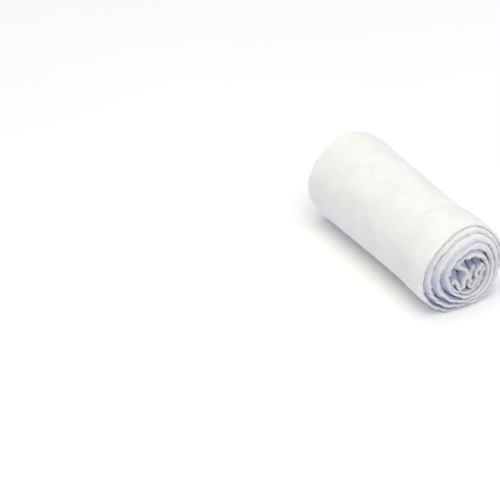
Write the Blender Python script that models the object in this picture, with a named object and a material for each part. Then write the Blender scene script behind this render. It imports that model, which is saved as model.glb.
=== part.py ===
"""A roll of bias cut stockinette: one strip of cotton jersey wound on itself, lying on its side.

Metres, +Z up. The roll's axis is along X, its neater end is at +X, and it rests on a small flat
spot at z = 0. The origin is at the middle of the bottom of its box.
"""

import math

import bmesh
import bpy
import numpy as np

MM = 0.001

# Driving sizes, in millimetres
STRIP_WIDTH = 101.6  # the strip as it is cut, four inches, which is the roll's length
ROLL_RADIUS = 22.7
FLAT_DEPTH = 0.75  # how far the roll's own weight flattens its underside
FLAT_REACH = 7.0  # how far up the squeeze is felt
OUTER_GIVE = 0.25  # the part of the flattening that the outermost cloth takes alone
BETWEEN_TURNS = 0.36
END_ROUNDING = 1.5  # over this length the strip's two ends thin out
TIGHTEST_BEND = 0.8  # the cloth is never thicker than this share of its bend's width
BESIDE = 7.0  # cloth nearer than this along the strip is the same fold, not a neighbour

# The folded heart lies off the roll's middle, low and to the right seen from +X
HEART_Y = 5.9
HEART_Z = -3.5

# The oval round the folded heart, from the heart's middle, where the turns start
OVAL_HALF_WIDTH = 8.2
OVAL_HALF_HEIGHT = 10.6
OVAL_DROP = 0.7

# The folded heart, as (y, z) along the middle of the cloth from the strip's start, seen from +X
HEART_FOLDS = [
    (6.5, 2.2),  # the start, standing between the two slits
    (6.5, -1.8),
    (4.3, -5.6),
    (5.0, -8.6),
    (4.2, -11.2),
    (5.6, -12.7),  # round below the second slit
    (7.1, -11.2),
    (8.7, -8.8),
    (7.8, -5.8),
    (8.9, -3.0),
    (10.4, -0.9),  # over, and down along the right wall
    (11.8, -3.2),
    (11.0, -6.2),
    (10.9, -9.0),
    (8.8, -12.6),
    (5.2, -14.6),  # under all the folds
    (1.0, -13.9),
    (-3.2, -11.4),
    (-5.6, -7.4),
    (-4.9, -3.8),  # a pucker in the left wall
    (-3.0, -5.0),
    (-2.4, -8.6),
    (-0.9, -10.9),
    (0.4, -8.8),
    (0.1, -5.9),
    (1.3, -3.0),
    (-1.2, 0.4),
    (-2.6, 3.6),
    (0.2, 6.6),  # the wall over the hollow
    (4.6, 6.8),
    (9.2, 4.6),
    (12.6, 0.6),
]

# Where the middle of the cloth passes in each turn, as a share of the way from the oval to the
# outside. The turns go clockwise seen from +X, and the roll is looser on the left.
TURNS = [
    # right, bottom, left, top
    (0.00, 0.25, 0.31, 0.38),
    (0.27, 0.50, 0.58, 0.65),
    (0.54, 0.75, 0.81, 0.84),
    (0.79, 1.00, 1.00, 1.00),
]
LAST_SHARE = 0.98  # the free end lies on the turn below it, on the roll's right side
WOUND_TURNS = 3.97

# Turn by turn from the heart out: the soft cloth's fullest thickness, with its curled cut edges,
# and how far the edge at +X stands in from the roll's end
FULLEST = [3.0, 3.1, 3.1, 2.8, 1.5]
EDGE_IN = [2.4, 0.9, 0.3, 0.0, 0.5]
TELESCOPE = 0.6  # the share of it by which the other edge stands out

# Swelling of the roll along its length: (distance from the middle, added to the radius)
SWELLING = [
    (-49.5, -0.50),
    (-42.0, 0.10),
    (-12.0, 0.25),
    (14.0, -0.05),
    (24.4, -0.45),  # a soft crease goes round here
    (28.6, 0.40),
    (40.0, 0.75),
    (49.5, 0.45),
]

LIP_POINTS = 3
LONGEST_STEP = 3.3
STEEPEST_STEP = math.radians(17)
COLOUR = (0.86, 0.85, 0.81, 1.0)
ROUGHNESS = 0.92
SMOOTH_ANGLE = math.radians(50)


def clear_scene():
    for thing in list(bpy.data.objects):
        bpy.data.objects.remove(thing, do_unlink=True)


def eased(rows, at):
    """A smooth curve through evenly spaced rows, read at a row number that may lie between two."""
    at = min(max(at, 0.0), len(rows) - 1.0)
    k = min(int(at), len(rows) - 2)
    t = at - k
    before, after = rows[max(k - 1, 0)], rows[min(k + 2, len(rows) - 1)]
    slope_in = (rows[k + 1] - before) / 2
    slope_out = (after - rows[k]) / 2
    h = t * t * (3 - 2 * t)
    return (
        rows[k] * (1 - h)
        + rows[k + 1] * h
        + slope_in * (t * (1 - t) ** 2)
        - slope_out * (t * t * (1 - t))
    )


def oval_distance(angle):
    """From the heart's middle to the oval round it."""
    c, s = math.cos(angle), math.sin(angle)
    a = (c / OVAL_HALF_WIDTH) ** 2 + (s / OVAL_HALF_HEIGHT) ** 2
    b = s * OVAL_DROP / OVAL_HALF_HEIGHT**2
    d = (OVAL_DROP / OVAL_HALF_HEIGHT) ** 2 - 1
    return (-b + math.sqrt(b * b - a * d)) / a


def outside_distance(angle):
    """From the heart's middle to the middle of the outermost cloth."""
    along = HEART_Y * math.cos(angle) + HEART_Z * math.sin(angle)
    reach = ROLL_RADIUS - FULLEST[-1] / 2
    return -along + math.sqrt(along**2 + reach**2 - HEART_Y**2 - HEART_Z**2)


def turn_point(turns):
    """The middle of the cloth after so many turns round the heart, clockwise from the right."""
    angle = -2 * math.pi * turns
    shares = [share for row in TURNS for share in row] + [LAST_SHARE]
    share = eased(shares, turns * 4)
    near, far = oval_distance(angle), outside_distance(angle)
    r = near + share * (far - near)
    return np.array([HEART_Y + r * math.cos(angle), HEART_Z + r * math.sin(angle)])


def cloth_line():
    """Closely spaced points along the middle of the cloth, and each one's number of turns."""
    rows = np.vstack([HEART_FOLDS, turn_point(0.0), turn_point(0.05)])
    points, turns = [], []
    for k in np.arange(0, len(HEART_FOLDS), 0.05):
        points.append(eased(rows, k))
        turns.append(k / len(HEART_FOLDS) - 1)
    for k in np.arange(0, WOUND_TURNS, 0.004):
        points.append(turn_point(k))
        turns.append(k)
    return np.array(points), np.array(turns)


def stations(points, turns):
    """Where the cloth gets its sections: close together in a fold and wider apart on a turn.

    Each has its place, the way its upper side faces, its number of turns, its distance along the
    strip, the radius of its bend and the distance to the nearest neighbour of its fold.
    """
    steps = np.diff(points, axis=0)
    lengths = np.hypot(steps[:, 0], steps[:, 1])
    swings = np.abs(np.diff(np.unwrap(np.arctan2(steps[:, 1], steps[:, 0]))))
    chosen, far, swing = [0], 0.0, 0.0
    for k in range(1, len(swings)):
        far += lengths[k]
        swing += swings[k]
        if far > LONGEST_STEP or swing > STEEPEST_STEP:
            chosen.append(k)
            far, swing = 0.0, 0.0
    chosen.append(len(points) - 1)
    ahead = np.gradient(points, axis=0)
    ahead /= np.linalg.norm(ahead, axis=1)[:, None]
    facing = np.column_stack([-ahead[:, 1], ahead[:, 0]])
    along = np.concatenate([[0], np.cumsum(lengths)])
    window = np.ones(5)
    bend = np.convolve(lengths, window, "same")[1:] / (np.convolve(swings, window, "same") + 1e-6)
    bend = np.concatenate([bend[:1], bend, bend[-1:]])
    apart = np.linalg.norm(points[chosen][:, None] - points[None], axis=2)
    apart[np.abs(along[chosen][:, None] - along[None]) < BESIDE] = np.inf
    nearest = apart.min(axis=1)
    return points[chosen], facing[chosen], turns[chosen], along[chosen], bend[chosen], nearest


def half_thickness(turns, along, bend, nearest):
    """Half of the cloth's thickness at each station, less where its neighbours leave less room."""
    fullest = np.array([eased(FULLEST, at + 1) for at in turns])
    room = np.minimum(nearest - BETWEEN_TURNS, 2 * TIGHTEST_BEND * bend)
    half = np.minimum(fullest, room) / 2
    padded = np.pad(half, 1, mode="edge")
    least = np.min([padded[k : k + len(half)] for k in range(3)], axis=0)
    from_end = np.minimum(along, along[-1] - along) / END_ROUNDING
    thinned = np.sqrt(1 - (1 - np.clip(from_end, 0.1, 1)) ** 2)
    return least * thinned


def section(centre, facing, half, turns):
    """The cloth's cross section at a station, as points (x, y, z) in order round it."""
    edge_in = eased(EDGE_IN, turns + 1)
    near_end = STRIP_WIDTH / 2 - edge_in - half
    far_end = -STRIP_WIDTH / 2 - TELESCOPE * edge_in + half
    lowest, highest = SWELLING[0][0], SWELLING[-1][0]
    shares = [(x - lowest) / (highest - lowest) for x, _ in SWELLING]
    lengthwise = [far_end + share * (near_end - far_end) for share in shares]
    turned = [math.pi * (k + 1) / (LIP_POINTS + 1) for k in range(LIP_POINTS)]
    upper = [(x, half) for x in lengthwise]
    near_lip = [(near_end + half * math.sin(a), half * math.cos(a)) for a in turned]
    lower = [(x, -half) for x in reversed(lengthwise)]
    far_lip = [(far_end - half * math.sin(a), -half * math.cos(a)) for a in turned]
    ring = []
    for x, offset in upper + near_lip + lower + far_lip:
        y, z = centre + facing * offset
        ring.append((x, y, z))
    return ring


def swollen(ring):
    """The section's points after the roll's swelling, its crease and its flat underside."""
    xs = [x for x, _ in SWELLING]
    added = [swell for _, swell in SWELLING]
    floor = FLAT_DEPTH - ROLL_RADIUS
    shaped = []
    for x, y, z in ring:
        grown = 1 + float(np.interp(x, xs, added)) / ROLL_RADIUS
        y, z = y * grown, z * grown
        radius = ROLL_RADIUS * grown
        if abs(y) < radius and z < 0:
            underside = -math.sqrt(radius**2 - y**2)
            lift = max(0.0, floor - underside - OUTER_GIVE)
            z += lift * max(0.0, 1 - (z - underside) / FLAT_REACH)
        shaped.append((x, y, max(z, floor)))
    return shaped


def roll_rings():
    """All sections of the wound strip, moved so that the origin is under the roll's middle."""
    middle, facing, turns, along, bend, nearest = stations(*cloth_line())
    half = half_thickness(turns, along, bend, nearest)
    rings = [swollen(section(*at)) for at in zip(middle, facing, half, turns)]
    points = np.array(rings)
    low, high = points.min(axis=(0, 1)), points.max(axis=(0, 1))
    points -= np.array([(low[0] + high[0]) / 2, (low[1] + high[1]) / 2, low[2]])
    return points * MM


def end_faces(first, around):
    """Closes one end of the strip, between each point of its upper side and the one below it."""
    across = 2 * len(SWELLING) + LIP_POINTS - 1
    far_tip = -(LIP_POINTS + 1) // 2
    faces = []
    for j in range(far_tip, len(SWELLING) + (LIP_POINTS - 1) // 2):
        corners = [j, j + 1, across - j - 1, across - j]
        faces.append([first + c for c in dict.fromkeys(k % around for k in corners)])
    return faces


def make_roll(name, material):
    """The strip is a loft whose sections all differ, so its faces are built here."""
    rings = roll_rings()
    count, around = rings.shape[:2]
    faces = []
    for first in range(0, (count - 1) * around, around):
        for j in range(around):
            after = (j + 1) % around
            faces.append((first + j, first + after, first + around + after, first + around + j))
    faces += end_faces(0, around)
    faces += end_faces((count - 1) * around, around)
    form = bmesh.new()
    corners = [form.verts.new(point) for point in rings.reshape(-1, 3)]
    for face in faces:
        form.faces.new([corners[k] for k in face])
    bmesh.ops.recalc_face_normals(form, faces=form.faces[:])
    mesh = bpy.data.meshes.new(name)
    form.to_mesh(mesh)
    form.free()
    mesh.materials.append(material)
    mesh.shade_smooth()
    mesh.set_sharp_from_angle(angle=SMOOTH_ANGLE)
    return bpy.data.objects.new(name, mesh)


def cotton_knit():
    material = bpy.data.materials.new("white_cotton_knit")
    material.use_nodes = True
    shader = material.node_tree.nodes["Principled BSDF"]
    shader.inputs["Base Color"].default_value = COLOUR
    shader.inputs["Roughness"].default_value = ROUGHNESS
    shader.inputs["Metallic"].default_value = 0.0
    return material


def main():
    clear_scene()
    parts = bpy.data.collections.new("bias_cut_stockinette")
    bpy.context.scene.collection.children.link(parts)
    parts.objects.link(make_roll("stockinette_roll", cotton_knit()))


main()
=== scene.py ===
import math
from types import SimpleNamespace

import bpy
import numpy as np
from mathutils import Matrix, Vector


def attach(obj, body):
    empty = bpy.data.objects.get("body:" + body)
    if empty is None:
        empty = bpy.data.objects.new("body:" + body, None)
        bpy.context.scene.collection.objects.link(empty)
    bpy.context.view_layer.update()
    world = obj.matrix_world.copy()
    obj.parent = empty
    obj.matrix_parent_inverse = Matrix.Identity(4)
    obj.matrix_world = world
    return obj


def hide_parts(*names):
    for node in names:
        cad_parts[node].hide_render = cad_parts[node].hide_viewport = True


# A roll of bias cut stockinette lying on a pale table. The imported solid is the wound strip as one
# thick band. Here the strip is a jersey cloth on the same winding, thin along the roll and with
# soft curled edges at both ends, and with a fringe of cut yarn.

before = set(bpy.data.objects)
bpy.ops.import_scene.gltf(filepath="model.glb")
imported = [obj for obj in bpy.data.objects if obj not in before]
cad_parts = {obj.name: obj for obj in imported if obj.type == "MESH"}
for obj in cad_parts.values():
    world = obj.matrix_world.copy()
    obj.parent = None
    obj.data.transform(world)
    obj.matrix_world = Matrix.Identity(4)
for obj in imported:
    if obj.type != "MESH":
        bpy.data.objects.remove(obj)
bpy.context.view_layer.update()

MM = 0.001
SEED = 7

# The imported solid's winding, with its folds and the top of its inner turns a little reshaped for
# the thin cloth: millimetres from the roll's middle, seen from +X
STRIP_WIDTH = 101.6
ROLL_RADIUS = 22.7
FLAT_DEPTH = 0.75
FLAT_REACH = 7.0
OUTER_GIVE = 0.25
HEART_Y = 5.9
HEART_Z = -3.5
OVAL_HALF_WIDTH = 8.2
OVAL_HALF_HEIGHT = 10.6
OVAL_DROP = 0.7
HEART_FOLDS = [
    (6.4, -0.4),  # the strip's start, standing between the two slits
    (6.0, -3.2),
    (4.3, -6.0),
    (4.6, -8.8),
    (4.2, -11.2),
    (5.6, -12.7),  # round below the second slit
    (7.1, -11.2),
    (8.7, -8.8),
    (8.0, -5.8),
    (9.1, -3.6),
    (10.5, -1.8),  # over, and down along the right wall
    (11.9, -3.6),
    (11.0, -6.2),
    (10.9, -9.0),
    (8.8, -12.6),
    (5.2, -14.6),  # under all the folds
    (1.0, -13.9),
    (-3.2, -11.6),
    (-5.6, -8.0),
    (-4.9, -5.2),  # a pucker in the left wall
    (-3.1, -6.2),
    (-2.4, -9.0),
    (-0.9, -11.1),
    (0.4, -9.2),
    (0.6, -6.3),
    (2.1, -3.5),
    (1.8, -0.8),
    (-0.9, 1.3),
    (-2.7, 3.8),
    (0.2, 6.6),  # the wall over the hollow
    (4.6, 6.8),
    (9.2, 4.6),
    (12.6, 0.6),
]
TURNS = [
    # right, bottom, left, top: shares of the way from the heart's oval to the outside
    (0.00, 0.25, 0.31, 0.35),
    (0.27, 0.50, 0.58, 0.61),
    (0.54, 0.75, 0.81, 0.84),
    (0.79, 1.00, 1.00, 1.00),
]
LAST_SHARE = 0.98
WOUND_TURNS = 3.97
OUTERMOST_FROM = WOUND_TURNS - 1.02
MIDDLE_IN_FRAME = (0.72, 0.29, ROLL_RADIUS - FLAT_DEPTH)

# Stations along the cloth: first closely spaced ones to measure it, then those that are kept. The
# folds lead on into the first places of the turns.
FINE_FOLDS = 0.01
FINE_TURNS = 0.0005
LEADS_INTO = (0.0, 0.05)
HEART_STEP = 0.55
TURN_STEP = 0.9

# Measures that change from the strip's start, at -1 turn, to its free end: how far each side of
# the curled edge swells from the cloth's middle where it has room, how thick the edge's crest is
# on each side, and how much room it leaves to its neighbours
SWELLS_OUT = [
    (-1.0, 1.8),
    (-0.8, 1.5),
    (-0.58, 1.6),
    (-0.50, 3.0),
    (-0.43, 3.0),
    (-0.38, 1.6),
    (-0.22, 2.0),
    (-0.12, 3.6),
    (0.1, 4.2),
    (2.90, 4.2),
    (2.96, 0.75),
]
SWELLS_IN = [(-1.0, 1.8), (-0.3, 1.4), (-0.15, 1.1), (0.05, 1.1), (0.3, 4.2)]
CREST = [(-1.0, 0.85), (-0.2, 0.60), (0.5, 0.50), (1.5, 0.45)]
ROOM_LEFT = [(-1.0, 0.8), (-0.8, 0.7), (-0.7, 0.04), (-0.3, 0.04), (-0.22, 0.5), (-0.16, 0.04)]
LEAST_SWELL = 0.2
TIGHTEST_BEND = 0.85  # no swell is more than this share of the bend that it fills
STRAIGHT = 1e-3  # a bend of less than this, in radians to the millimetre, counts as this
BESIDE = 7.0  # cloth nearer than this along the strip is the same fold, not a neighbour
LEAST_FACING = 0.25  # a neighbour lies on a side when this share of its way is straight off it
EASES_OVER = 2  # stations each way over which a swell eases

# The cloth is thin along the roll, and its cut edges curl up into full soft ridges
CLOTH = 1.1
LEAST_CLOTH = 0.25
RIDGE = 3.1
RIDGE_SIDE = [
    # from a ridge's crest back: depth, share of the crest's thickness, share of the rest
    (0.10, 0.55, 0.00),
    (0.30, 0.90, 0.00),
    (0.80, 1.00, 0.03),
    (1.40, 1.00, 0.11),
    (1.95, 1.00, 0.27),
    (2.40, 1.00, 0.54),
    (2.78, 1.00, 0.82),
    (3.02, 1.00, 0.98),
]
FILL_ENDS = (1.5, 5.0)  # the ridges' fullness fades out over these distances from their feet
END_ROUNDING = 1.2  # over this length the strip's start and its free end thin out
LEAST_ROUNDED = 0.08
ACROSS = [
    # places across the strip, fine at both cut edges and at the crease
    *np.arange(-50.8, -44.0, 1.4),
    *np.arange(-44.0, 16.0, 5.0),
    *np.arange(16.0, 33.0, 1.3),
    *np.arange(33.0, 44.0, 2.8),
    *np.arange(44.0, 50.8, 1.1),
    50.8,
]

# The outer turns are pressed together on top, most of all at this angle. It grows from the first
# of these numbers of turns to the second.
PRESSED_FROM = math.radians(70)
PRESSED_TURNS = (-0.5, 1.3)
RIDGE_PRESSED = 0.86  # what the pressing takes from a ridge's height

# Turn by turn from the heart out: how far the edge at +X stands in from the roll's end, and how
# much of that the other edge stands out
EDGE_IN = [2.4, 0.9, 0.3, 0.0, 0.5]
TELESCOPE = 0.6
CURLED_AWAY = (2.6, 0.6)  # what the curl takes from the strip's width at -X and at +X

# The whole +X end also stands back at the roll's -Y side and over its pressed top, which it doesn't
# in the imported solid: how far, from how high up, and the stretch of the roll that takes this up
LEANS_BACK = 4.2
SHOULDER = 5.8
SHOULDER_FROM = 7.0
END_TAKEN_UP = (20.0, 48.0)

# Behind the heart's open places the cloth stands up and fills them, which it doesn't in the packed
# solid. It rises between these depths behind the crests, at the strip's start and in rows of a
# number of turns, a reach in turns and a height in millimetres.
STANDS_BEHIND = (2.0, 7.0)
START_STANDS = 4.6
START_REACH = 7.0
STANDS_INSIDE = [(-0.70, 0.03, 2.5), (-0.40, 0.055, 8.0), (-0.315, 0.045, 4.5), (-0.20, 0.04, 3.5)]

# What the roll's shape adds to its radius along its length, and the soft crease round it
SWELLING = [
    (-50.8, 0.15),
    (-42.0, 0.60),
    (-12.0, 0.35),
    (12.0, 0.00),
    (22.0, 0.00),
    (30.0, 0.70),
    (40.0, 1.10),
    (50.8, 0.95),
]
CREASE_AT = 24.4
CREASE_DEPTH = 0.70
CREASE_HALF_WIDTH = 1.8
CREASE_DEEPEST = math.radians(120)
CREASE_LEAST = 0.2  # its depth on the side across from that, as a share
CREASE_WANDERS = 0.8
CREASE_PHASE = 0.6

# The soft unevenness of a hand-wound roll. Each kind has its seed and its longest and shortest
# waves in millimetres, and then its amount, in millimetres or, for the lumps and the lean, as a
# share of half the ridge's thickness. A pair is the amount where nothing is pressed and where all is.
WAVES = 9
BODY_WAVES = (1, 60, 9)
UNEVEN_BODY = 0.17
EDGE_WAVES = (2, 70, 14)
UNEVEN_EDGES = (0.40, 0.12)
FRILL_WAVES = (3, 9, 2.6)
FRILL = (0.30, 0.08)
FAR_EDGE_WAVES = (4, 70, 14)
UNEVEN_FAR_EDGE = 0.40
LUMP_WAVES = (5, 11, 3.0)
LUMPS = 0.20
MOST_LUMP = 1.3
LEAN_WAVES = (6, 12, 3.0)
RIDGES_LEAN = 0.25

# Where shade and warm light are painted into the cloth's colour at the ends, from so far behind the
# crests to so far: painted shade in the valleys, less on the upward-facing and pressed top and less
# again deep inside, and painted warm light in the two slits beside the strip's start
VALLEY_DEPTHS = (0.4, 2.8)
VALLEY_LESS_UPWARD = 0.25
VALLEY_LESS_PRESSED = 0.7
INSIDE_DEPTHS = (2.5, 6.0)
VALLEY_LESS_INSIDE = 0.6
SLIT_DEPTHS = (1.0, 4.0)
SLIT_TURNS = (0.72, 0.80)
SLIT_FROM_START = (0.5, 3.0)

# The fringe: ends of the jersey's yarn, drawn a little thicker than yarn so that they show
YARN = 0.19
YARN_END = (0.3, 0.9)
YARN_SIDES = 5
YARN_RINGS = [
    # share of its reach, and of its thickness
    (-0.3, 1.0),
    (0.3, 1.1),
    (0.75, 0.9),
    (1.0, 0.35),
]

# How far the roots lie scattered, how much the ends point outward and every way, and their bow
YARN_SCATTER = 0.35
YARN_OUTWARD = 0.55
YARN_SPREAD = 0.5
YARN_BOW = 0.25
FRINGE_SHARE = 0.9

# The knit: a fine jersey, 20 wales to the inch, set at 45 degrees because it is cut on the bias.
# The fibres are drawn coarser than real ones so that they show.
WALE = 1.27
COURSE = 1.0
BIAS = math.radians(45)
STITCH_SLANT = 1.3
STITCH_HEIGHT = 0.16
LEG_ROUND = 0.6
LOOP_ROUND = 0.5
UNEVEN_KNIT = 0.7
UNEVEN_KNIT_SIZE = 3.846
CLOUD_SIZE = 9.091
FIBRE_SIZE = 0.3846
FIBRE_HEIGHT = 0.3  # as a share of a stitch's
# How strongly painted shade greys the cloth between the stitches, and the valleys at the ends
STITCH_SHADE_PAINTED = 0.5
VALLEY_SHADE_PAINTED = 0.85
STRAND_SIZE = 0.2381
STRAND_HEIGHT = 0.05
LAMINATE_GRAIN = 111.1
TABLE_REACH = 3.0

# A Mix node's colour sockets go by number, because its other kinds share their names
MIX_FACTOR, MIX_FIRST, MIX_SECOND, MIX_RESULT = 0, 6, 7, 2

# The photograph is 500 pixels square: where its end face lies, and the size of a pixel there
PICTURE = 500
END_FACE_PIXEL = (467.0, 272.8)
PIXEL_MM = 0.477
CAMERA_TURN = math.radians(55.7)
CAMERA_RISE = math.radians(37.4)
CAMERA_AWAY = 1.6


def linear(hex_colour):
    """An sRGB colour such as F4F2EA as linear RGBA."""
    parts = [int(hex_colour[k : k + 2], 16) / 255 for k in (0, 2, 4)]
    return [p / 12.92 if p <= 0.04045 else ((p + 0.055) / 1.055) ** 2.4 for p in parts] + [1.0]


def eased(rows, at):
    """A smooth curve through evenly spaced rows, read at row numbers that may lie between two."""
    rows = np.asarray(rows, float)
    at = np.clip(at, 0, len(rows) - 1)
    k = np.minimum(at.astype(int), len(rows) - 2)
    t = at - k
    if rows.ndim == 2:
        t = t[:, None]
    slope_in = (rows[k + 1] - rows[np.maximum(k - 1, 0)]) / 2
    slope_out = (rows[np.minimum(k + 2, len(rows) - 1)] - rows[k]) / 2
    h = t * t * (3 - 2 * t)
    curve = rows[k] * (1 - h) + rows[k + 1] * h
    return curve + slope_in * t * (1 - t) ** 2 - slope_out * t * t * (1 - t)


def rising(value, low, high):
    """0 below low, 1 above high, and smooth between them."""
    t = np.clip((value - low) / (high - low), 0, 1)
    return t * t * (3 - 2 * t)


def unevenness(kind, *places):
    """Soft hand-wound unevenness, mostly between -1 and 1, with the waves of its kind."""
    seed, longest, shortest = kind
    rng = np.random.default_rng(SEED + seed)
    total = 0
    for length in np.geomspace(longest, shortest, WAVES):
        direction = rng.normal(size=len(places))
        direction /= np.linalg.norm(direction)
        reach = sum(d * p for d, p in zip(direction, places))
        total = total + np.sin(2 * math.pi * reach / length + rng.uniform(0, 2 * math.pi))
    return total / math.sqrt(WAVES)


def oval_distance(angle):
    """From the heart's middle to the oval round it."""
    c, s = np.cos(angle), np.sin(angle)
    a = (c / OVAL_HALF_WIDTH) ** 2 + (s / OVAL_HALF_HEIGHT) ** 2
    b = s * OVAL_DROP / OVAL_HALF_HEIGHT**2
    d = (OVAL_DROP / OVAL_HALF_HEIGHT) ** 2 - 1
    return (-b + np.sqrt(b * b - a * d)) / a


def outside_distance(angle):
    """From the heart's middle to the middle of the outermost cloth."""
    along = HEART_Y * np.cos(angle) + HEART_Z * np.sin(angle)
    reach = ROLL_RADIUS - SWELLS_OUT[-1][1]
    return -along + np.sqrt(along**2 + reach**2 - HEART_Y**2 - HEART_Z**2)


def turn_points(turns):
    """The middle of the cloth after so many turns round the heart, clockwise from the right."""
    angle = -2 * math.pi * turns
    shares = [share for row in TURNS for share in row] + [LAST_SHARE]
    share = eased(shares, turns * len(TURNS[0]))
    near, far = oval_distance(angle), outside_distance(angle)
    r = near + share * (far - near)
    return np.column_stack([HEART_Y + r * np.cos(angle), HEART_Z + r * np.sin(angle)])


def cloth_line():
    """Stations along the middle of the cloth. Each has its distance along the strip, its place,
    its number of turns and the way its upper side faces, and is more or less pressed."""
    rows = np.vstack([HEART_FOLDS, turn_points(np.array(LEADS_INTO))])
    in_heart = np.arange(0, len(HEART_FOLDS), FINE_FOLDS)
    on_turns = np.arange(0, WOUND_TURNS, FINE_TURNS)
    points = np.vstack([eased(rows, in_heart), turn_points(on_turns)])
    turns = np.concatenate([in_heart / len(HEART_FOLDS) - 1, on_turns])
    steps = np.linalg.norm(np.diff(points, axis=0), axis=1)
    measured = np.concatenate([[0], np.cumsum(steps)])
    heart_ends, whole = measured[len(in_heart)], measured[-1]
    on_folds = np.arange(0, heart_ends, HEART_STEP)
    outside = np.linspace(heart_ends, whole, int((whole - heart_ends) / TURN_STEP))
    along = np.concatenate([on_folds, outside])
    places = np.column_stack([np.interp(along, measured, points[:, k]) for k in range(2)])
    turns = np.interp(along, measured, turns)
    ahead = np.gradient(places, along, axis=0)
    ahead /= np.linalg.norm(ahead, axis=1)[:, None]
    upward = 0.5 + 0.5 * np.cos(np.arctan2(places[:, 1], places[:, 0]) - PRESSED_FROM)
    return SimpleNamespace(
        along=along,
        places=places,
        turns=turns,
        facing=np.column_stack([-ahead[:, 1], ahead[:, 0]]),
        upward=upward,
        pressed=upward * rising(turns, *PRESSED_TURNS),
        outermost=turns > OUTERMOST_FROM,
    )


def smoothed(values, reach):
    """A soft moving average over so many stations each way."""
    window = np.hanning(2 * reach + 3)[1:-1]
    padded = np.pad(values, reach, mode="edge")
    return np.convolve(padded, window / window.sum(), "valid")


def ridge_halves(line):
    """How far the curled edge swells outward and inward, less where neighbours leave less room."""
    ahead = np.gradient(line.places, line.along, axis=0)
    bend = (np.gradient(ahead, line.along, axis=0) * line.facing).sum(axis=1)
    room_left = np.interp(line.turns, *zip(*ROOM_LEFT))
    halves = []
    for side, swells in ((1, SWELLS_OUT), (-1, SWELLS_IN)):
        room = np.empty(len(line.places))
        for k, place in enumerate(line.places):
            away = line.places - place
            apart = np.linalg.norm(away, axis=1)
            beside = np.abs(line.along - line.along[k]) < BESIDE
            apart[beside | (side * (away @ line.facing[k]) < LEAST_FACING * apart)] = np.inf
            room[k] = (apart.min() - room_left[k]) / 2
        tightest = TIGHTEST_BEND / np.clip(side * bend, STRAIGHT, None)
        half = np.minimum.reduce([np.interp(line.turns, *zip(*swells)), room, tightest])
        padded = np.pad(np.maximum(half, LEAST_SWELL), EASES_OVER, mode="edge")
        least = np.min([padded[k : k + len(half)] for k in range(2 * EASES_OVER + 1)], axis=0)
        halves.append(smoothed(least, EASES_OVER)[:, None])
    return halves


def ridge_feet(line):
    """Where the ridges begin at +X and at -X, and how high they are."""
    ridge = RIDGE * (1 - RIDGE_PRESSED * line.pressed)
    edge_in = eased(EDGE_IN, line.turns + 1)
    wavy = np.interp(line.pressed, (0, 1), FRILL) * unevenness(FRILL_WAVES, line.along)
    wavy += np.interp(line.pressed, (0, 1), UNEVEN_EDGES) * unevenness(EDGE_WAVES, line.along)
    far_wavy = UNEVEN_FAR_EDGE * unevenness(FAR_EDGE_WAVES, line.along)
    far_reach, near_reach = (STRIP_WIDTH / 2 - curled for curled in CURLED_AWAY)
    near_end = near_reach - edge_in + wavy
    far_end = -far_reach - TELESCOPE * edge_in + far_wavy - wavy
    return (near_end - ridge)[:, None], (far_end + ridge)[:, None], ridge[:, None]


def flat_sections(line):
    """The cloth's sections before they go round the roll: along its length, and off its middle."""
    outer, inner = ridge_halves(line)
    near_foot, far_foot, ridge = ridge_feet(line)
    from_end = np.minimum(line.along, line.along[-1] - line.along) / END_ROUNDING
    thinned = np.sqrt(1 - (1 - np.clip(from_end, LEAST_ROUNDED, 1)) ** 2)[:, None]
    lumps = LUMPS * np.clip(unevenness(LUMP_WAVES, line.along), 0, MOST_LUMP)
    full_inner = inner * (1 - lumps[:, None])

    shares = (np.array(ACROSS) + STRIP_WIDTH / 2) / STRIP_WIDTH
    x = far_foot + shares * (near_foot - far_foot)
    thinner = rising(np.minimum(x - far_foot, near_foot - x), *FILL_ENDS)
    flat_out = np.where(line.outermost[:, None], outer, np.minimum(outer, CLOTH / 2))
    flat_in = np.minimum(inner, np.maximum(CLOTH - flat_out, LEAST_CLOTH))
    upper = outer * (1 - thinner) + flat_out * thinner
    lower = -full_inner * (1 - thinner) - flat_in * thinner

    depth, crest, rest = np.array(RIDGE_SIDE).T
    flanks = []
    for half in (outer, full_inner):
        thin = np.minimum(np.interp(line.turns, *zip(*CREST))[:, None], half)
        flanks.append(crest * thin + rest * (half - thin))
    tip_leans = RIDGES_LEAN * unevenness(LEAN_WAVES, line.along)[:, None] * np.minimum(outer, inner)
    leans = tip_leans * (1 - depth / RIDGE)
    out = ridge * (1 - depth / RIDGE)
    out = np.hstack([out[:, ::-1], ridge, out])
    over = np.hstack([(flanks[0] + leans)[:, ::-1], tip_leans, leans - flanks[1]])
    lengthwise = np.hstack([x, near_foot + out, x[:, ::-1], far_foot - out])
    offset = np.hstack([upper, over, lower[:, ::-1], over[:, ::-1]]) * thinned
    return lengthwise, offset


def round_section(lengthwise, offset):
    """How far it is to each point round its section, from the first one."""
    sides = np.hypot(np.diff(lengthwise, axis=1), np.diff(offset, axis=1))
    return np.hstack([np.zeros((len(sides), 1)), np.cumsum(sides, axis=1)])


def behind_crests(lengthwise):
    """How far each point stands back from the nearer end of its section."""
    first, last = lengthwise.min(axis=1)[:, None], lengthwise.max(axis=1)[:, None]
    return np.minimum(lengthwise - first, last - lengthwise)


def crease(x, facing):
    """How deep the crease is there. It is deepest on one side and wanders a little."""
    strength = CREASE_LEAST + (1 - CREASE_LEAST) * np.cos((facing - CREASE_DEEPEST) / 2) ** 2
    wanders = CREASE_WANDERS * np.sin(2 * facing + CREASE_PHASE)
    return CREASE_DEPTH * strength * np.exp(-(((x - CREASE_AT - wanders) / CREASE_HALF_WIDTH) ** 2))


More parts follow.
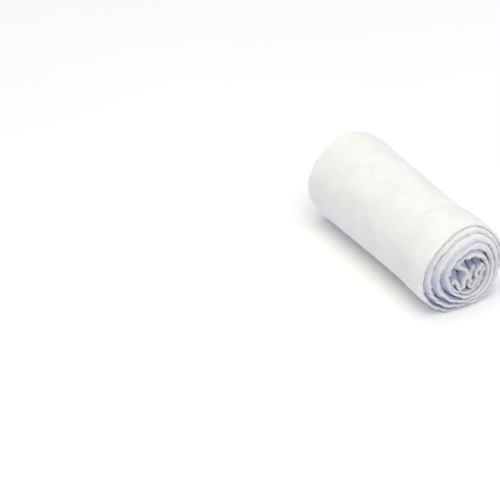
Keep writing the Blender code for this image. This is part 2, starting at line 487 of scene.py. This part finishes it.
def end_back(y, z):
    """How far the +X end stands back there."""
    over_top = y * math.cos(PRESSED_FROM) + z * math.sin(PRESSED_FROM)
    share = np.clip((over_top - SHOULDER_FROM) / (ROLL_RADIUS - SHOULDER_FROM), 0, 1)
    return LEANS_BACK * np.clip(-y / ROLL_RADIUS, 0, None) + SHOULDER * share**2


def rounded(x, y, z):
    """Points after the roll's swelling, crease, slight unevenness, uneven end and flat underside."""
    swell = np.interp(x, *zip(*SWELLING)) + UNEVEN_BODY * unevenness(BODY_WAVES, x, y, z)
    grown = 1 + (swell - crease(x, np.arctan2(z, y))) / ROLL_RADIUS
    x = x - end_back(y, z) * rising(x, *END_TAKEN_UP)
    y, z = y * grown, z * grown
    floor = FLAT_DEPTH - ROLL_RADIUS
    underside = -np.sqrt(np.clip((ROLL_RADIUS * grown) ** 2 - y**2, 0, None))
    lift = np.where(z < 0, np.clip(floor - underside - OUTER_GIVE, 0, None), 0)
    z = z + lift * np.clip(1 - (z - underside) / FLAT_REACH, 0, None)
    return np.stack([x, y, np.maximum(z, floor)], axis=-1)


def wound(line, lengthwise, offset, behind):
    """The sections wound into the roll: their points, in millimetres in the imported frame."""
    stands = START_STANDS * (1 - rising(line.along, 0, START_REACH))
    for at, reach, height in STANDS_INSIDE:
        stands += height * np.exp(-(((line.turns - at) / reach) ** 2))
    y = line.places[:, :1] + line.facing[:, :1] * offset
    z = line.places[:, 1:] + line.facing[:, 1:] * offset
    z += stands[:, None] * rising(behind, *STANDS_BEHIND)
    return rounded(lengthwise, y, z) + MIDDLE_IN_FRAME


def painted_shade_masks(line, behind):
    """How much painted shade each point takes down between an end's ridges, and how much painted warm
    light in a slit of the heart, from 0 to 1.
    """
    # The painted shade is weaker where the cloth faces up and where it is pressed on top
    less = VALLEY_LESS_UPWARD * line.upward + VALLEY_LESS_PRESSED * line.pressed
    valley_shade = rising(behind, *VALLEY_DEPTHS) * (1 - less[:, None])
    valley_shade *= 1 - VALLEY_LESS_INSIDE * rising(behind, *INSIDE_DEPTHS)
    body_side = len(ACROSS) + len(RIDGE_SIDE) + 1
    valley_shade[:, :body_side] *= 1 - line.outermost[:, None]
    valley_shade[:, -len(RIDGE_SIDE) :] *= 1 - line.outermost[:, None]
    # Painted warm light in the slits beside the strip's start
    by_start = rising(-line.turns, *SLIT_TURNS) * rising(line.along, *SLIT_FROM_START)
    return {"valley_painted_shade": valley_shade, "slit_painted_light": by_start[:, None] * rising(behind, *SLIT_DEPTHS)}


def strip_end(first, around):
    """Closes one end of the strip, between each point of its upper side and the one below it."""
    upper, lip = len(ACROSS), 2 * len(RIDGE_SIDE) + 1
    opposite = 2 * upper + lip - 1
    faces = []
    for j in range(-(lip + 1) // 2, upper + (lip - 1) // 2):
        corners = [j, j + 1, opposite - j - 1, opposite - j]
        faces.append([first + c for c in dict.fromkeys(k % around for k in corners)])
    return faces


def knitted_strip(points, along, round_it, shade):
    """The whole strip as one closed cloth. Its UV map is in metres of cloth, for the knit."""
    count, around = points.shape[:2]
    rows = np.arange(count - 1)[:, None] * around
    now = np.arange(around)
    after = (now + 1) % around
    quads = np.stack([rows + now, rows + around + now, rows + around + after, rows + after], -1)
    caps = strip_end(0, around) + [f[::-1] for f in strip_end((count - 1) * around, around)]
    mesh = bpy.data.meshes.new("knitted_strip")
    mesh.from_pydata((points * MM).reshape(-1, 3).tolist(), [], quads.reshape(-1, 4).tolist() + caps)

    closing = round_it[:, -1:] + np.linalg.norm(points[:, -1] - points[:, 0], axis=1)[:, None]
    v = np.hstack([round_it, closing])
    u = np.repeat(along[:, None], around + 1, axis=1)
    uv = np.stack([u, v], -1)
    corners = np.stack([uv[:-1, :-1], uv[1:, :-1], uv[1:, 1:], uv[:-1, 1:]], -2).reshape(-1, 2)
    on_caps = np.concatenate(caps)
    cap_uv = uv[on_caps // around, on_caps % around]
    knit_map = mesh.uv_layers.new(name="MetresOfCloth")
    knit_map.data.foreach_set("uv", (np.vstack([corners, cap_uv]) * MM).ravel())
    for name, values in shade.items():
        mesh.attributes.new(name, "FLOAT", "POINT").data.foreach_set("value", values.ravel())
    mesh.shade_smooth()
    return bpy.data.objects.new("knitted_strip", mesh)


def yarn_tube(root, reach, bow, side, over):
    """The rings of points of one yarn end, which starts inside the cloth and bows a little."""
    ring = []
    for share, thick in YARN_RINGS:
        centre = root + share * reach + 4 * share * (1 - share) * bow
        for k in range(YARN_SIDES):
            turn = 2 * math.pi * k / YARN_SIDES
            ring.append(centre + thick * YARN / 2 * (math.cos(turn) * side + math.sin(turn) * over))
    return ring


def tube_faces(first):
    """The faces of a yarn end whose points start at this one, with both its ends closed."""
    faces = []
    for row in range(len(YARN_RINGS) - 1):
        base = first + row * YARN_SIDES
        for a in range(YARN_SIDES):
            b = (a + 1) % YARN_SIDES
            faces.append((base + a, base + b, base + YARN_SIDES + b, base + YARN_SIDES + a))
    last = first + (len(YARN_RINGS) - 1) * YARN_SIDES
    faces.append(tuple(first + a for a in reversed(range(YARN_SIDES))))
    faces.append(tuple(last + a for a in range(YARN_SIDES)))
    return faces


def yarn_ends(points, behind):
    """The fringe of cut yarn along both edges: short soft ends that stand every way, but more of
    them outward."""
    rng = np.random.default_rng(SEED)
    count = len(points)
    middle = points.mean(axis=1)
    corners, faces = [], []
    for edge in np.argsort(behind, axis=1)[:, :2].T:
        for k in rng.permutation(count)[: int(count * FRINGE_SHARE)]:
            root = points[k, edge[k]] + rng.normal(0, YARN_SCATTER, 3)
            outward = math.copysign(YARN_OUTWARD, root[0] - middle[k, 0])
            way = np.array([outward, 0, 0]) + rng.normal(0, YARN_SPREAD, 3)
            reach = rng.uniform(*YARN_END) * way / np.linalg.norm(way)
            bow = rng.normal(0, YARN_BOW, 3)
            side = np.cross(reach, rng.normal(size=3))
            side /= np.linalg.norm(side)
            over = np.cross(side, reach) / np.linalg.norm(reach)
            faces += tube_faces(len(corners))
            corners += yarn_tube(root, reach, bow, side, over)
    corners = np.array(corners)
    corners[:, 2] = np.abs(corners[:, 2])  # none goes into the table
    mesh = bpy.data.meshes.new("cut_yarn_ends")
    mesh.from_pydata((corners * MM).tolist(), [], faces)
    mesh.shade_smooth()
    return bpy.data.objects.new("cut_yarn_ends", mesh)


def new_material(name):
    """A material, its nodes and its shader."""
    material = bpy.data.materials.new(name)
    material.use_nodes = True
    return material, material.node_tree, material.node_tree.nodes["Principled BSDF"]


def fill(tree, made, inputs):
    """Gives a node's inputs, by name or number, their values, or links them to other nodes."""
    for name, value in inputs.items():
        if isinstance(value, bpy.types.NodeSocket):
            tree.links.new(value, made.inputs[name])
        else:
            made.inputs[name].default_value = value


def node(tree, kind, inputs, output=0, **settings):
    """Adds a node with its settings and its inputs, and gives one of its outputs."""
    made = tree.nodes.new(kind)
    for name, value in settings.items():
        setattr(made, name, value)
    fill(tree, made, inputs)
    return made.outputs[output]


def knit_height(tree, cloth):
    """The jersey's stitches from 0 to 1, each a V of two legs that slant from its wale's middle."""
    noise = {"Vector": cloth, "Scale": 1 / (UNEVEN_KNIT_SIZE * MM), "Detail": 2.0}
    drift = node(tree, "ShaderNodeTexNoise", noise, "Color")
    drift = node(tree, "ShaderNodeVectorMath", {0: drift, 1: (0.5,) * 3}, operation="SUBTRACT")
    drifting = {0: drift, 1: (UNEVEN_KNIT * MM,) * 3, 2: cloth}
    uneven = node(tree, "ShaderNodeVectorMath", drifting, operation="MULTIPLY_ADD")
    on_bias = {"Vector": uneven, "Rotation": (0, 0, BIAS), "Scale": (WALE * MM, COURSE * MM, 1)}
    turned = node(tree, "ShaderNodeMapping", on_bias, vector_type="TEXTURE")
    wales = node(tree, "ShaderNodeSeparateXYZ", {"Vector": turned}, "X")
    courses = wales.node.outputs["Y"]

    wale = node(tree, "ShaderNodeMath", {0: wales}, operation="FRACT")
    off_middle = node(tree, "ShaderNodeMath", {0: wale, 1: 0.5}, operation="SUBTRACT")
    off_middle = node(tree, "ShaderNodeMath", {0: off_middle}, operation="ABSOLUTE")
    leg = node(tree, "ShaderNodeMath", {0: off_middle, 1: 2 * math.pi}, operation="MULTIPLY")
    leg = node(tree, "ShaderNodeMath", {0: leg}, operation="SINE")
    leg = node(tree, "ShaderNodeMath", {0: leg, 1: LEG_ROUND}, operation="POWER")
    slanting = {0: off_middle, 1: STITCH_SLANT, 2: courses}
    stitch = node(tree, "ShaderNodeMath", slanting, operation="MULTIPLY_ADD")
    stitch = node(tree, "ShaderNodeMath", {0: stitch}, operation="FRACT")
    stitch = node(tree, "ShaderNodeMath", {0: stitch, 1: math.pi}, operation="MULTIPLY")
    stitch = node(tree, "ShaderNodeMath", {0: stitch}, operation="SINE")
    stitch = node(tree, "ShaderNodeMath", {0: stitch, 1: LOOP_ROUND}, operation="POWER")
    return node(tree, "ShaderNodeMath", {0: leg, 1: stitch}, operation="MULTIPLY")


def jersey_colour(tree, loops):
    """White, cloudy from handling, with painted shade that greys it between the stitches and turns it
    blue-grey down between the ridges at the ends, and painted warm light deep in each slit of the
    heart, like the light between layers of cloth."""
    place = node(tree, "ShaderNodeTexCoord", {}, "Object")
    noise = {"Vector": place, "Scale": 1 / (CLOUD_SIZE * MM), "Detail": 3.0}
    clouds = node(tree, "ShaderNodeTexNoise", noise)
    cloudy = node(tree, "ShaderNodeMapRange", {"Value": clouds, "From Min": 0.35, "From Max": 0.7})
    # Painted shade: greyer where the knit is low, between the stitches
    stitch_shade = node(tree, "ShaderNodeMath", {0: 1.0, 1: loops}, operation="SUBTRACT")
    stitch_shade = node(tree, "ShaderNodeMath", {0: stitch_shade, 1: STITCH_SHADE_PAINTED}, operation="MULTIPLY")
    # Painted shade: a blue-grey tint down between the ridges at the ends
    painted_valley_shade = node(tree, "ShaderNodeAttribute", {}, "Fac", attribute_name="valley_painted_shade")
    painted_valley_shade = node(tree, "ShaderNodeMath", {0: painted_valley_shade, 1: VALLEY_SHADE_PAINTED}, operation="MULTIPLY")
    # Painted warm light deep in the heart's slits
    painted_slit_light = node(tree, "ShaderNodeAttribute", {}, "Fac", attribute_name="slit_painted_light")
    tints = [("F2F0EA", cloudy), ("DFDCD6", stitch_shade), ("ADB6D0", painted_valley_shade), ("D2B5A8", painted_slit_light)]
    colour = linear("FAF9F5")
    for tint, share in tints:
        mixed = {MIX_FACTOR: share, MIX_FIRST: colour, MIX_SECOND: linear(tint)}
        colour = node(tree, "ShaderNodeMix", mixed, MIX_RESULT, data_type="RGBA")
    return colour


def cotton_jersey():
    """White cotton jersey, knitted: matt and soft, and light goes a little way into it, with
    fine rows of V stitches that lean across the strip because it is cut on the bias."""
    material, tree, shader = new_material("cotton_jersey")
    cloth = node(tree, "ShaderNodeUVMap", {}, uv_map="MetresOfCloth")
    loops = knit_height(tree, cloth)
    noise = {"Vector": cloth, "Scale": 1 / (FIBRE_SIZE * MM), "Detail": 3.0}
    fibres = node(tree, "ShaderNodeTexNoise", noise)
    summed = {0: fibres, 1: FIBRE_HEIGHT, 2: loops}
    height = node(tree, "ShaderNodeMath", summed, operation="MULTIPLY_ADD")
    raised = {"Height": height, "Strength": 0.5, "Distance": STITCH_HEIGHT * MM}
    dull = {"Value": loops, "To Min": 0.97, "To Max": 0.86}
    looks = {
        "Base Color": jersey_colour(tree, loops),
        "Roughness": node(tree, "ShaderNodeMapRange", dull),
        "Normal": node(tree, "ShaderNodeBump", raised),
        "Specular IOR Level": 0.25,
        "Sheen Weight": 0.25,
        "Sheen Roughness": 0.5,
        "Subsurface Weight": 0.5,
        "Subsurface Radius": (1.0, 1.0, 1.0),
        "Subsurface Scale": 1.8 * MM,
    }
    fill(tree, shader, looks)
    return material


def cotton_yarn():
    """Fluffy spun cotton yarn, matt, with painted shade a little darker between its twisted strands.
    """
    material, tree, shader = new_material("cotton_yarn")
    place = node(tree, "ShaderNodeTexCoord", {}, "Object")
    noise = {"Vector": place, "Scale": 1 / (STRAND_SIZE * MM), "Detail": 3.0}
    strands = node(tree, "ShaderNodeTexNoise", noise)
    # Painted shade: darker where the same noise lowers the bump
    tones = {MIX_FACTOR: strands, MIX_FIRST: linear("E9E8EA"), MIX_SECOND: linear("FAF9F5")}
    raised = {"Height": strands, "Strength": 0.4, "Distance": STRAND_HEIGHT * MM}
    looks = {
        "Base Color": node(tree, "ShaderNodeMix", tones, MIX_RESULT, data_type="RGBA"),
        "Normal": node(tree, "ShaderNodeBump", raised),
        "Roughness": 0.95,
        "Specular IOR Level": 0.2,
        "Sheen Weight": 0.3,
    }
    fill(tree, shader, looks)
    return material


def white_laminate():
    """A smooth white laminate table top: dull, with a very faint unevenness."""
    material, tree, shader = new_material("white_laminate")
    place = node(tree, "ShaderNodeTexCoord", {}, "Object")
    noise = {"Vector": place, "Scale": 1 / (LAMINATE_GRAIN * MM), "Detail": 2.0}
    grain = node(tree, "ShaderNodeTexNoise", noise)
    tones = {MIX_FACTOR: grain, MIX_FIRST: linear("FBFBFB"), MIX_SECOND: linear("F7F7F7")}
    tone = node(tree, "ShaderNodeMix", tones, MIX_RESULT, data_type="RGBA")
    fill(tree, shader, {"Base Color": tone, "Roughness": 0.75})
    return material


def table_top():
    signs = ((-1, -1), (1, -1), (1, 1), (-1, 1))
    corners = [(a * TABLE_REACH, b * TABLE_REACH, 0) for a, b in signs]
    mesh = bpy.data.meshes.new("table_top")
    mesh.from_pydata(corners, [], [(0, 1, 2, 3)])
    return bpy.data.objects.new("table_top", mesh)


def softbox(name, place, size, power, colour):
    """A square soft light, which faces the spot under the roll's middle."""
    lamp = bpy.data.lights.new(name, "AREA")
    lamp.size = size
    lamp.energy = power
    lamp.color = linear(colour)[:3]
    holder = bpy.data.objects.new(name, lamp)
    holder.location = place
    holder.rotation_euler = Vector(place).to_track_quat("Z", "Y").to_euler()
    bpy.context.scene.collection.objects.link(holder)


def light_room():
    """Soft daylight: a broad warm light overhead, a smaller blue one on the open end's side, and a
    pale room."""
    softbox("key_softbox", (0.10, -0.12, 1.04), size=1.0, power=9.6, colour="FFF8DF")
    softbox("side_softbox", (0.80, 0.45, 0.40), size=0.5, power=0.95, colour="AEBDFF")
    world = bpy.data.worlds.new("pale_room")
    world.use_nodes = True
    room = world.node_tree.nodes["Background"]
    room.inputs["Color"].default_value = linear("DCE3FC")
    room.inputs["Strength"].default_value = 0.60
    bpy.context.scene.world = world


def place_camera():
    """The photograph's view: the end face lands on its pixel, and the frame cuts it at the right."""
    level = math.cos(CAMERA_RISE)
    sideways, back = math.sin(CAMERA_TURN), -math.cos(CAMERA_TURN)
    toward = Vector((sideways * level, back * level, math.sin(CAMERA_RISE)))
    right = Vector((math.cos(CAMERA_TURN), math.sin(CAMERA_TURN), 0))
    up = toward.cross(right)
    end_face = Vector(MIDDLE_IN_FRAME) + Vector((STRIP_WIDTH / 2, 0, 0))
    off_x, off_y = ((pixel - PICTURE / 2) * PIXEL_MM for pixel in END_FACE_PIXEL)
    aim = (end_face - right * off_x + up * off_y) * MM
    lens = bpy.data.cameras.new("camera")
    lens.lens = lens.sensor_width * CAMERA_AWAY / (PICTURE * PIXEL_MM * MM)
    camera = bpy.data.objects.new("camera", lens)
    facing = Matrix((right, up, toward)).transposed().to_4x4()
    camera.matrix_world = Matrix.Translation(aim + toward * CAMERA_AWAY) @ facing
    bpy.context.scene.collection.objects.link(camera)
    bpy.context.scene.camera = camera


def show(thing, material):
    """Puts a piece into the scene in its material."""
    thing.data.materials.append(material)
    bpy.context.scene.collection.objects.link(thing)
    return thing


place_camera()
light_room()
table = show(table_top(), white_laminate())

cloth = cloth_line()
lengthwise, offset = flat_sections(cloth)
round_it = round_section(lengthwise, offset)
behind = behind_crests(lengthwise)
points = wound(cloth, lengthwise, offset, behind)

knitted = knitted_strip(points, cloth.along, round_it, painted_shade_masks(cloth, behind))
strip = show(knitted, cotton_jersey())
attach(strip, "root")
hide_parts("stockinette_roll")

fringe = show(yarn_ends(points, behind), cotton_yarn())
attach(fringe, "root")

bpy.context.scene.view_settings.view_transform = "Standard"
